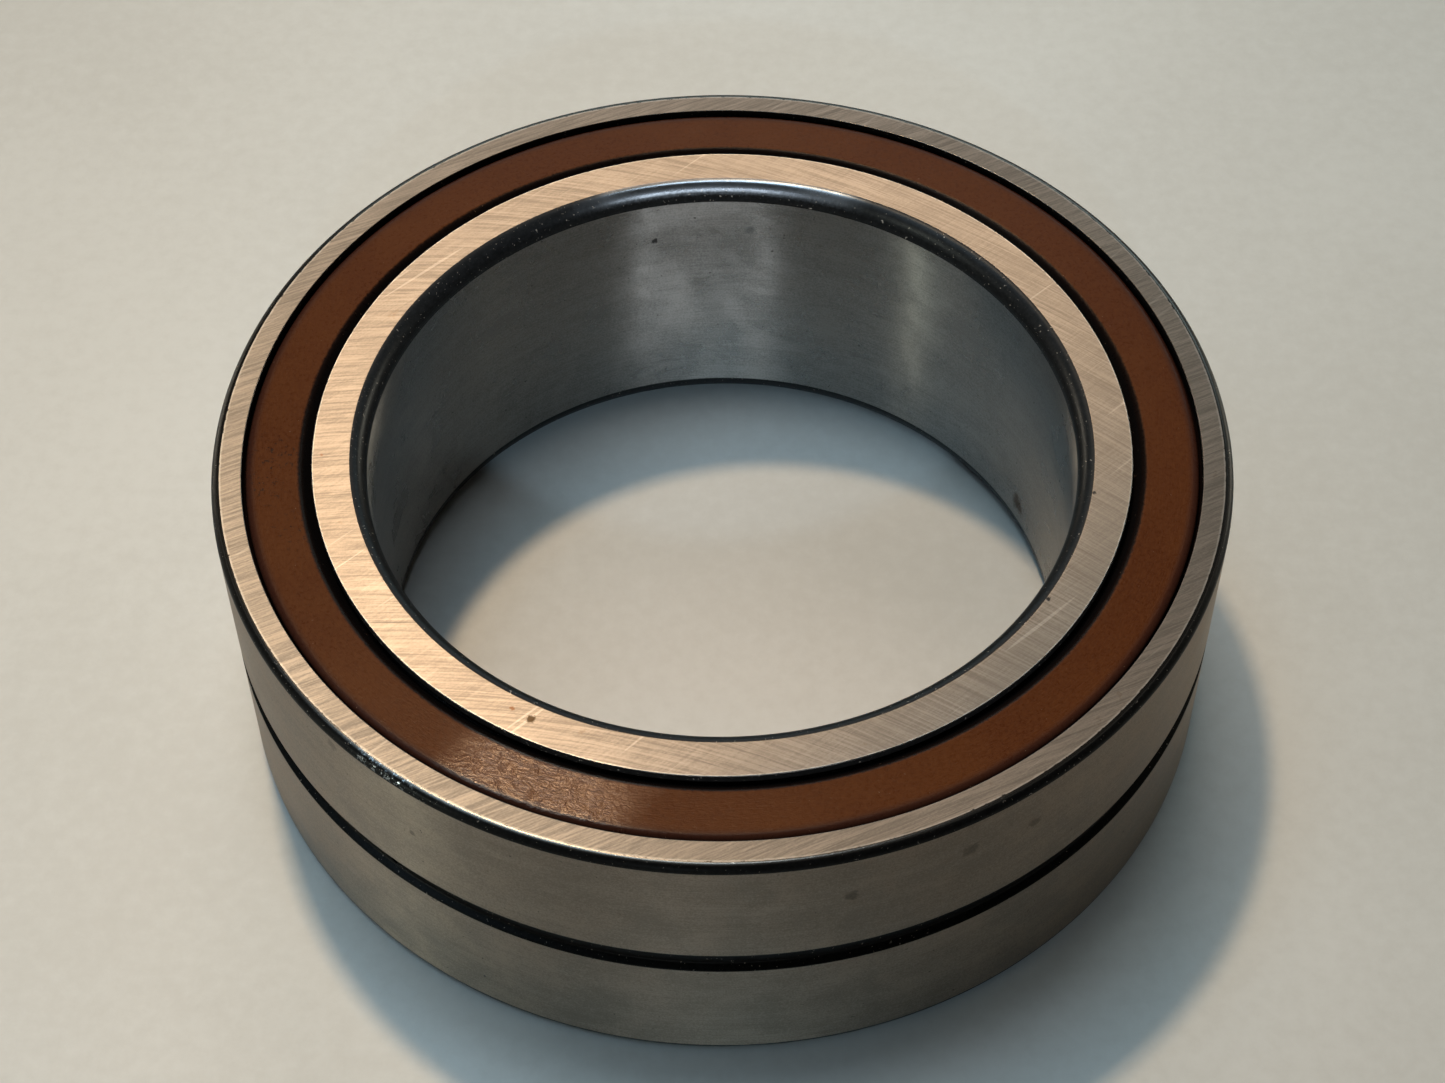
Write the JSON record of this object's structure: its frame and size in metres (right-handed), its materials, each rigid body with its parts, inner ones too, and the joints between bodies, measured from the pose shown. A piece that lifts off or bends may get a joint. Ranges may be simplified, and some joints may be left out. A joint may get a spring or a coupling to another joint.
{
  "type": "angular contact bearing",
  "caption": "Double-row angular contact ball bearing with rubber seals on both sides and a lubrication groove round the outer ring.",
  "frame": {"origin": "on the bearing's axis, in the plane of the lower end faces", "axes": "+Z along the bearing's axis, upwards; +X and +Y span the end faces"},
  "size_m": [0.1, 0.1, 0.032],
  "materials": {
    "ring_steel": "ground",
    "ball_steel": "polished",
    "seal_rubber": "satin",
    "insert_steel": "satin",
    "cage_polyamide": "moulded"
  },
  "bodies": {
    "housing_side": {"outer_ring": "ring_steel", "upper_seal": "seal_rubber", "lower_seal": "seal_rubber", "upper_seal_insert": "insert_steel", "lower_seal_insert": "insert_steel"},
    "inner_ring": {"inner_ring": "ring_steel"},
    "upper_cage": {"upper_cage": "cage_polyamide"},
    "lower_cage": {"lower_cage": "cage_polyamide"},
    "upper_ball_01": {"upper_ball_01": "ball_steel"},
    "upper_ball_02": {"upper_ball_02": "ball_steel"},
    "upper_ball_03": {"upper_ball_03": "ball_steel"},
    "upper_ball_04": {"upper_ball_04": "ball_steel"},
    "upper_ball_05": {"upper_ball_05": "ball_steel"},
    "upper_ball_06": {"upper_ball_06": "ball_steel"},
    "upper_ball_07": {"upper_ball_07": "ball_steel"},
    "upper_ball_08": {"upper_ball_08": "ball_steel"},
    "upper_ball_09": {"upper_ball_09": "ball_steel"},
    "upper_ball_10": {"upper_ball_10": "ball_steel"},
    "upper_ball_11": {"upper_ball_11": "ball_steel"},
    "upper_ball_12": {"upper_ball_12": "ball_steel"},
    "upper_ball_13": {"upper_ball_13": "ball_steel"},
    "upper_ball_14": {"upper_ball_14": "ball_steel"},
    "upper_ball_15": {"upper_ball_15": "ball_steel"},
    "upper_ball_16": {"upper_ball_16": "ball_steel"},
    "upper_ball_17": {"upper_ball_17": "ball_steel"},
    "upper_ball_18": {"upper_ball_18": "ball_steel"},
    "upper_ball_19": {"upper_ball_19": "ball_steel"},
    "upper_ball_20": {"upper_ball_20": "ball_steel"},
    "upper_ball_21": {"upper_ball_21": "ball_steel"},
    "upper_ball_22": {"upper_ball_22": "ball_steel"},
    "upper_ball_23": {"upper_ball_23": "ball_steel"},
    "upper_ball_24": {"upper_ball_24": "ball_steel"},
    "lower_ball_01": {"lower_ball_01": "ball_steel"},
    "lower_ball_02": {"lower_ball_02": "ball_steel"},
    "lower_ball_03": {"lower_ball_03": "ball_steel"},
    "lower_ball_04": {"lower_ball_04": "ball_steel"},
    "lower_ball_05": {"lower_ball_05": "ball_steel"},
    "lower_ball_06": {"lower_ball_06": "ball_steel"},
    "lower_ball_07": {"lower_ball_07": "ball_steel"},
    "lower_ball_08": {"lower_ball_08": "ball_steel"},
    "lower_ball_09": {"lower_ball_09": "ball_steel"},
    "lower_ball_10": {"lower_ball_10": "ball_steel"},
    "lower_ball_11": {"lower_ball_11": "ball_steel"},
    "lower_ball_12": {"lower_ball_12": "ball_steel"},
    "lower_ball_13": {"lower_ball_13": "ball_steel"},
    "lower_ball_14": {"lower_ball_14": "ball_steel"},
    "lower_ball_15": {"lower_ball_15": "ball_steel"},
    "lower_ball_16": {"lower_ball_16": "ball_steel"},
    "lower_ball_17": {"lower_ball_17": "ball_steel"},
    "lower_ball_18": {"lower_ball_18": "ball_steel"},
    "lower_ball_19": {"lower_ball_19": "ball_steel"},
    "lower_ball_20": {"lower_ball_20": "ball_steel"},
    "lower_ball_21": {"lower_ball_21": "ball_steel"},
    "lower_ball_22": {"lower_ball_22": "ball_steel"},
    "lower_ball_23": {"lower_ball_23": "ball_steel"},
    "lower_ball_24": {"lower_ball_24": "ball_steel"}
  },
  "joints": [
    {"name": "inner_spin", "type": "hinge", "parent": "housing_side", "child": "inner_ring", "pos_m": [0, 0, 0.016], "axis": [0, 0, 1], "continuous": true},
    {"name": "upper_cage_orbit", "type": "hinge", "parent": "housing_side", "child": "upper_cage", "pos_m": [0, 0, 0.0226], "axis": [0, 0, 1], "continuous": true},
    {"name": "lower_cage_orbit", "type": "hinge", "parent": "housing_side", "child": "lower_cage", "pos_m": [0, 0, 0.0094], "axis": [0, 0, 1], "continuous": true},
    {"name": "upper_ball_01_spin", "type": "hinge", "parent": "upper_cage", "child": "upper_ball_01", "pos_m": [0, -0.0425, 0.0226], "axis": [0, -0.4226, 0.9063], "continuous": true},
    {"name": "upper_ball_02_spin", "type": "hinge", "parent": "upper_cage", "child": "upper_ball_02", "pos_m": [0.011, -0.04105, 0.0226], "axis": [0.1094, -0.4082, 0.9063], "continuous": true},
    {"name": "upper_ball_03_spin", "type": "hinge", "parent": "upper_cage", "child": "upper_ball_03", "pos_m": [0.02125, -0.03681, 0.0226], "axis": [0.2113, -0.366, 0.9063], "continuous": true},
    {"name": "upper_ball_04_spin", "type": "hinge", "parent": "upper_cage", "child": "upper_ball_04", "pos_m": [0.03005, -0.03005, 0.0226], "axis": [0.2988, -0.2988, 0.9063], "continuous": true},
    {"name": "upper_ball_05_spin", "type": "hinge", "parent": "upper_cage", "child": "upper_ball_05", "pos_m": [0.03681, -0.02125, 0.0226], "axis": [0.366, -0.2113, 0.9063], "continuous": true},
    {"name": "upper_ball_06_spin", "type": "hinge", "parent": "upper_cage", "child": "upper_ball_06", "pos_m": [0.04105, -0.011, 0.0226], "axis": [0.4082, -0.1094, 0.9063], "continuous": true},
    {"name": "upper_ball_07_spin", "type": "hinge", "parent": "upper_cage", "child": "upper_ball_07", "pos_m": [0.0425, 0, 0.0226], "axis": [0.4226, 0, 0.9063], "continuous": true},
    {"name": "upper_ball_08_spin", "type": "hinge", "parent": "upper_cage", "child": "upper_ball_08", "pos_m": [0.04105, 0.011, 0.0226], "axis": [0.4082, 0.1094, 0.9063], "continuous": true},
    {"name": "upper_ball_09_spin", "type": "hinge", "parent": "upper_cage", "child": "upper_ball_09", "pos_m": [0.03681, 0.02125, 0.0226], "axis": [0.366, 0.2113, 0.9063], "continuous": true},
    {"name": "upper_ball_10_spin", "type": "hinge", "parent": "upper_cage", "child": "upper_ball_10", "pos_m": [0.03005, 0.03005, 0.0226], "axis": [0.2988, 0.2988, 0.9063], "continuous": true},
    {"name": "upper_ball_11_spin", "type": "hinge", "parent": "upper_cage", "child": "upper_ball_11", "pos_m": [0.02125, 0.03681, 0.0226], "axis": [0.2113, 0.366, 0.9063], "continuous": true},
    {"name": "upper_ball_12_spin", "type": "hinge", "parent": "upper_cage", "child": "upper_ball_12", "pos_m": [0.011, 0.04105, 0.0226], "axis": [0.1094, 0.4082, 0.9063], "continuous": true},
    {"name": "upper_ball_13_spin", "type": "hinge", "parent": "upper_cage", "child": "upper_ball_13", "pos_m": [0, 0.0425, 0.0226], "axis": [0, 0.4226, 0.9063], "continuous": true},
    {"name": "upper_ball_14_spin", "type": "hinge", "parent": "upper_cage", "child": "upper_ball_14", "pos_m": [-0.011, 0.04105, 0.0226], "axis": [-0.1094, 0.4082, 0.9063], "continuous": true},
    {"name": "upper_ball_15_spin", "type": "hinge", "parent": "upper_cage", "child": "upper_ball_15", "pos_m": [-0.02125, 0.03681, 0.0226], "axis": [-0.2113, 0.366, 0.9063], "continuous": true},
    {"name": "upper_ball_16_spin", "type": "hinge", "parent": "upper_cage", "child": "upper_ball_16", "pos_m": [-0.03005, 0.03005, 0.0226], "axis": [-0.2988, 0.2988, 0.9063], "continuous": true},
    {"name": "upper_ball_17_spin", "type": "hinge", "parent": "upper_cage", "child": "upper_ball_17", "pos_m": [-0.03681, 0.02125, 0.0226], "axis": [-0.366, 0.2113, 0.9063], "continuous": true},
    {"name": "upper_ball_18_spin", "type": "hinge", "parent": "upper_cage", "child": "upper_ball_18", "pos_m": [-0.04105, 0.011, 0.0226], "axis": [-0.4082, 0.1094, 0.9063], "continuous": true},
    {"name": "upper_ball_19_spin", "type": "hinge", "parent": "upper_cage", "child": "upper_ball_19", "pos_m": [-0.0425, 0, 0.0226], "axis": [-0.4226, 0, 0.9063], "continuous": true},
    {"name": "upper_ball_20_spin", "type": "hinge", "parent": "upper_cage", "child": "upper_ball_20", "pos_m": [-0.04105, -0.011, 0.0226], "axis": [-0.4082, -0.1094, 0.9063], "continuous": true},
    {"name": "upper_ball_21_spin", "type": "hinge", "parent": "upper_cage", "child": "upper_ball_21", "pos_m": [-0.03681, -0.02125, 0.0226], "axis": [-0.366, -0.2113, 0.9063], "continuous": true},
    {"name": "upper_ball_22_spin", "type": "hinge", "parent": "upper_cage", "child": "upper_ball_22", "pos_m": [-0.03005, -0.03005, 0.0226], "axis": [-0.2988, -0.2988, 0.9063], "continuous": true},
    {"name": "upper_ball_23_spin", "type": "hinge", "parent": "upper_cage", "child": "upper_ball_23", "pos_m": [-0.02125, -0.03681, 0.0226], "axis": [-0.2113, -0.366, 0.9063], "continuous": true},
    {"name": "upper_ball_24_spin", "type": "hinge", "parent": "upper_cage", "child": "upper_ball_24", "pos_m": [-0.011, -0.04105, 0.0226], "axis": [-0.1094, -0.4082, 0.9063], "continuous": true},
    {"name": "lower_ball_01_spin", "type": "hinge", "parent": "lower_cage", "child": "lower_ball_01", "pos_m": [0, -0.0425, 0.0094], "axis": [0, 0.4226, 0.9063], "continuous": true},
    {"name": "lower_ball_02_spin", "type": "hinge", "parent": "lower_cage", "child": "lower_ball_02", "pos_m": [0.011, -0.04105, 0.0094], "axis": [-0.1094, 0.4082, 0.9063], "continuous": true},
    {"name": "lower_ball_03_spin", "type": "hinge", "parent": "lower_cage", "child": "lower_ball_03", "pos_m": [0.02125, -0.03681, 0.0094], "axis": [-0.2113, 0.366, 0.9063], "continuous": true},
    {"name": "lower_ball_04_spin", "type": "hinge", "parent": "lower_cage", "child": "lower_ball_04", "pos_m": [0.03005, -0.03005, 0.0094], "axis": [-0.2988, 0.2988, 0.9063], "continuous": true},
    {"name": "lower_ball_05_spin", "type": "hinge", "parent": "lower_cage", "child": "lower_ball_05", "pos_m": [0.03681, -0.02125, 0.0094], "axis": [-0.366, 0.2113, 0.9063], "continuous": true},
    {"name": "lower_ball_06_spin", "type": "hinge", "parent": "lower_cage", "child": "lower_ball_06", "pos_m": [0.04105, -0.011, 0.0094], "axis": [-0.4082, 0.1094, 0.9063], "continuous": true},
    {"name": "lower_ball_07_spin", "type": "hinge", "parent": "lower_cage", "child": "lower_ball_07", "pos_m": [0.0425, 0, 0.0094], "axis": [-0.4226, 0, 0.9063], "continuous": true},
    {"name": "lower_ball_08_spin", "type": "hinge", "parent": "lower_cage", "child": "lower_ball_08", "pos_m": [0.04105, 0.011, 0.0094], "axis": [-0.4082, -0.1094, 0.9063], "continuous": true},
    {"name": "lower_ball_09_spin", "type": "hinge", "parent": "lower_cage", "child": "lower_ball_09", "pos_m": [0.03681, 0.02125, 0.0094], "axis": [-0.366, -0.2113, 0.9063], "continuous": true},
    {"name": "lower_ball_10_spin", "type": "hinge", "parent": "lower_cage", "child": "lower_ball_10", "pos_m": [0.03005, 0.03005, 0.0094], "axis": [-0.2988, -0.2988, 0.9063], "continuous": true},
    {"name": "lower_ball_11_spin", "type": "hinge", "parent": "lower_cage", "child": "lower_ball_11", "pos_m": [0.02125, 0.03681, 0.0094], "axis": [-0.2113, -0.366, 0.9063], "continuous": true},
    {"name": "lower_ball_12_spin", "type": "hinge", "parent": "lower_cage", "child": "lower_ball_12", "pos_m": [0.011, 0.04105, 0.0094], "axis": [-0.1094, -0.4082, 0.9063], "continuous": true},
    {"name": "lower_ball_13_spin", "type": "hinge", "parent": "lower_cage", "child": "lower_ball_13", "pos_m": [0, 0.0425, 0.0094], "axis": [0, -0.4226, 0.9063], "continuous": true},
    {"name": "lower_ball_14_spin", "type": "hinge", "parent": "lower_cage", "child": "lower_ball_14", "pos_m": [-0.011, 0.04105, 0.0094], "axis": [0.1094, -0.4082, 0.9063], "continuous": true},
    {"name": "lower_ball_15_spin", "type": "hinge", "parent": "lower_cage", "child": "lower_ball_15", "pos_m": [-0.02125, 0.03681, 0.0094], "axis": [0.2113, -0.366, 0.9063], "continuous": true},
    {"name": "lower_ball_16_spin", "type": "hinge", "parent": "lower_cage", "child": "lower_ball_16", "pos_m": [-0.03005, 0.03005, 0.0094], "axis": [0.2988, -0.2988, 0.9063], "continuous": true},
    {"name": "lower_ball_17_spin", "type": "hinge", "parent": "lower_cage", "child": "lower_ball_17", "pos_m": [-0.03681, 0.02125, 0.0094], "axis": [0.366, -0.2113, 0.9063], "continuous": true},
    {"name": "lower_ball_18_spin", "type": "hinge", "parent": "lower_cage", "child": "lower_ball_18", "pos_m": [-0.04105, 0.011, 0.0094], "axis": [0.4082, -0.1094, 0.9063], "continuous": true},
    {"name": "lower_ball_19_spin", "type": "hinge", "parent": "lower_cage", "child": "lower_ball_19", "pos_m": [-0.0425, 0, 0.0094], "axis": [0.4226, 0, 0.9063], "continuous": true},
    {"name": "lower_ball_20_spin", "type": "hinge", "parent": "lower_cage", "child": "lower_ball_20", "pos_m": [-0.04105, -0.011, 0.0094], "axis": [0.4082, 0.1094, 0.9063], "continuous": true},
    {"name": "lower_ball_21_spin", "type": "hinge", "parent": "lower_cage", "child": "lower_ball_21", "pos_m": [-0.03681, -0.02125, 0.0094], "axis": [0.366, 0.2113, 0.9063], "continuous": true},
    {"name": "lower_ball_22_spin", "type": "hinge", "parent": "lower_cage", "child": "lower_ball_22", "pos_m": [-0.03005, -0.03005, 0.0094], "axis": [0.2988, 0.2988, 0.9063], "continuous": true},
    {"name": "lower_ball_23_spin", "type": "hinge", "parent": "lower_cage", "child": "lower_ball_23", "pos_m": [-0.02125, -0.03681, 0.0094], "axis": [0.2113, 0.366, 0.9063], "continuous": true},
    {"name": "lower_ball_24_spin", "type": "hinge", "parent": "lower_cage", "child": "lower_ball_24", "pos_m": [-0.011, -0.04105, 0.0094], "axis": [0.1094, 0.4082, 0.9063], "continuous": true}
  ],
  "couplings": [
    {"joint": "upper_cage_orbit", "follows": "inner_spin", "ratio": 0.45345},
    {"joint": "lower_cage_orbit", "follows": "inner_spin", "ratio": 0.45345},
    {"joint": "upper_ball_01_spin", "follows": "inner_spin", "ratio": -4.8255},
    {"joint": "upper_ball_02_spin", "follows": "inner_spin", "ratio": -4.8255},
    {"joint": "upper_ball_03_spin", "follows": "inner_spin", "ratio": -4.8255},
    {"joint": "upper_ball_04_spin", "follows": "inner_spin", "ratio": -4.8255},
    {"joint": "upper_ball_05_spin", "follows": "inner_spin", "ratio": -4.8255},
    {"joint": "upper_ball_06_spin", "follows": "inner_spin", "ratio": -4.8255},
    {"joint": "upper_ball_07_spin", "follows": "inner_spin", "ratio": -4.8255},
    {"joint": "upper_ball_08_spin", "follows": "inner_spin", "ratio": -4.8255},
    {"joint": "upper_ball_09_spin", "follows": "inner_spin", "ratio": -4.8255},
    {"joint": "upper_ball_10_spin", "follows": "inner_spin", "ratio": -4.8255},
    {"joint": "upper_ball_11_spin", "follows": "inner_spin", "ratio": -4.8255},
    {"joint": "upper_ball_12_spin", "follows": "inner_spin", "ratio": -4.8255},
    {"joint": "upper_ball_13_spin", "follows": "inner_spin", "ratio": -4.8255},
    {"joint": "upper_ball_14_spin", "follows": "inner_spin", "ratio": -4.8255},
    {"joint": "upper_ball_15_spin", "follows": "inner_spin", "ratio": -4.8255},
    {"joint": "upper_ball_16_spin", "follows": "inner_spin", "ratio": -4.8255},
    {"joint": "upper_ball_17_spin", "follows": "inner_spin", "ratio": -4.8255},
    {"joint": "upper_ball_18_spin", "follows": "inner_spin", "ratio": -4.8255},
    {"joint": "upper_ball_19_spin", "follows": "inner_spin", "ratio": -4.8255},
    {"joint": "upper_ball_20_spin", "follows": "inner_spin", "ratio": -4.8255},
    {"joint": "upper_ball_21_spin", "follows": "inner_spin", "ratio": -4.8255},
    {"joint": "upper_ball_22_spin", "follows": "inner_spin", "ratio": -4.8255},
    {"joint": "upper_ball_23_spin", "follows": "inner_spin", "ratio": -4.8255},
    {"joint": "upper_ball_24_spin", "follows": "inner_spin", "ratio": -4.8255},
    {"joint": "lower_ball_01_spin", "follows": "inner_spin", "ratio": -4.8255},
    {"joint": "lower_ball_02_spin", "follows": "inner_spin", "ratio": -4.8255},
    {"joint": "lower_ball_03_spin", "follows": "inner_spin", "ratio": -4.8255},
    {"joint": "lower_ball_04_spin", "follows": "inner_spin", "ratio": -4.8255},
    {"joint": "lower_ball_05_spin", "follows": "inner_spin", "ratio": -4.8255},
    {"joint": "lower_ball_06_spin", "follows": "inner_spin", "ratio": -4.8255},
    {"joint": "lower_ball_07_spin", "follows": "inner_spin", "ratio": -4.8255},
    {"joint": "lower_ball_08_spin", "follows": "inner_spin", "ratio": -4.8255},
    {"joint": "lower_ball_09_spin", "follows": "inner_spin", "ratio": -4.8255},
    {"joint": "lower_ball_10_spin", "follows": "inner_spin", "ratio": -4.8255},
    {"joint": "lower_ball_11_spin", "follows": "inner_spin", "ratio": -4.8255},
    {"joint": "lower_ball_12_spin", "follows": "inner_spin", "ratio": -4.8255},
    {"joint": "lower_ball_13_spin", "follows": "inner_spin", "ratio": -4.8255},
    {"joint": "lower_ball_14_spin", "follows": "inner_spin", "ratio": -4.8255},
    {"joint": "lower_ball_15_spin", "follows": "inner_spin", "ratio": -4.8255},
    {"joint": "lower_ball_16_spin", "follows": "inner_spin", "ratio": -4.8255},
    {"joint": "lower_ball_17_spin", "follows": "inner_spin", "ratio": -4.8255},
    {"joint": "lower_ball_18_spin", "follows": "inner_spin", "ratio": -4.8255},
    {"joint": "lower_ball_19_spin", "follows": "inner_spin", "ratio": -4.8255},
    {"joint": "lower_ball_20_spin", "follows": "inner_spin", "ratio": -4.8255},
    {"joint": "lower_ball_21_spin", "follows": "inner_spin", "ratio": -4.8255},
    {"joint": "lower_ball_22_spin", "follows": "inner_spin", "ratio": -4.8255},
    {"joint": "lower_ball_23_spin", "follows": "inner_spin", "ratio": -4.8255},
    {"joint": "lower_ball_24_spin", "follows": "inner_spin", "ratio": -4.8255}
  ]
}
